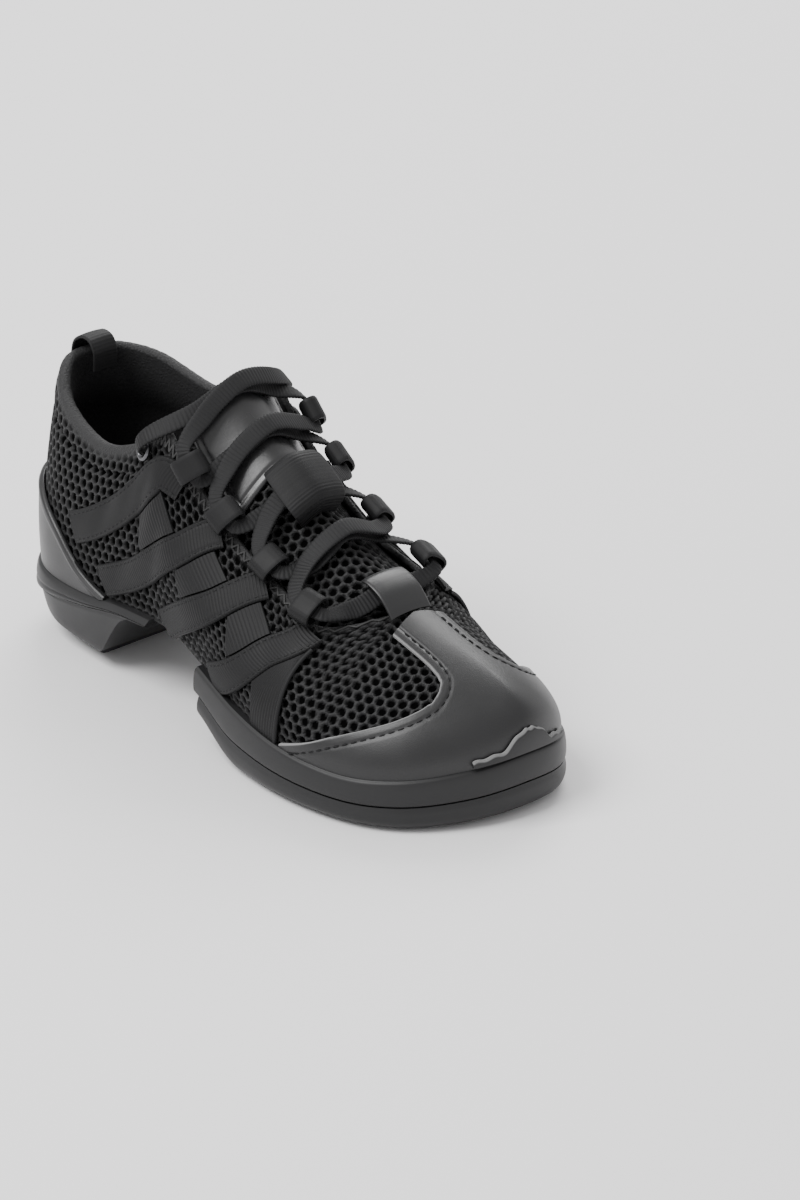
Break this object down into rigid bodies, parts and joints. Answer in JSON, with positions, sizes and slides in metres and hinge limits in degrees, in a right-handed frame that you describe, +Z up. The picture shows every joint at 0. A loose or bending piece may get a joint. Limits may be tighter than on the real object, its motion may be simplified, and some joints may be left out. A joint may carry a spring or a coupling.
{
  "type": "dance sneaker",
  "caption": "Split-sole dance sneaker, right shoe, in black mesh with grosgrain side tapes, tape lace loops, a leather toe cap and a separate heel and forefoot sole.",
  "frame": {"origin": "middle of the heel's flat rest face, on the floor", "axes": "+X to the toe along the shoe, +Y to the wearer's left (the medial side of this right shoe), +Z up"},
  "size_m": [0.2329, 0.093, 0.1149],
  "materials": {
    "mesh": "open spacer mesh, charcoal black",
    "satin": "satin coated leather, charcoal black",
    "webbing": "ribbed grosgrain tape, black",
    "lining": "fine knit lining, black",
    "cord": "flat ribbed lace, black",
    "metal": "dark nickel ring",
    "rubber": "satin moulded rubber, charcoal black"
  },
  "bodies": {
    "root": {"band_lateral_1": "webbing", "band_lateral_2": "webbing", "band_lateral_3": "webbing", "band_lateral_4": "webbing", "band_medial_1": "webbing", "band_medial_2": "webbing", "band_medial_3": "webbing", "band_medial_4": "webbing", "eyelet_lateral": "metal", "eyelet_medial": "metal", "forefoot_midsole": "rubber", "forefoot_outsole": "rubber", "heel_counter": "satin", "heel_midsole": "rubber", "heel_outsole": "rubber", "insole": "lining", "lace": "cord", "lace_keeper": "webbing", "lace_loop_lateral_1": "webbing", "lace_loop_lateral_2": "webbing", "lace_loop_lateral_3": "webbing", "lace_loop_lateral_4": "webbing", "lace_loop_medial_1": "webbing", "lace_loop_medial_2": "webbing", "lace_loop_medial_3": "webbing", "lace_loop_medial_4": "webbing", "pull_loop": "webbing", "stripe_lateral_1": "webbing", "stripe_lateral_2": "webbing", "stripe_lateral_3": "webbing", "stripe_lateral_4": "webbing", "stripe_medial_1": "webbing", "stripe_medial_2": "webbing", "stripe_medial_3": "webbing", "stripe_medial_4": "webbing", "throat_tab": "satin", "toe_bumper": "rubber", "toe_cap": "satin", "tongue": "mesh", "tongue_panel": "satin", "upper": "mesh"}
  },
  "joints": []
}
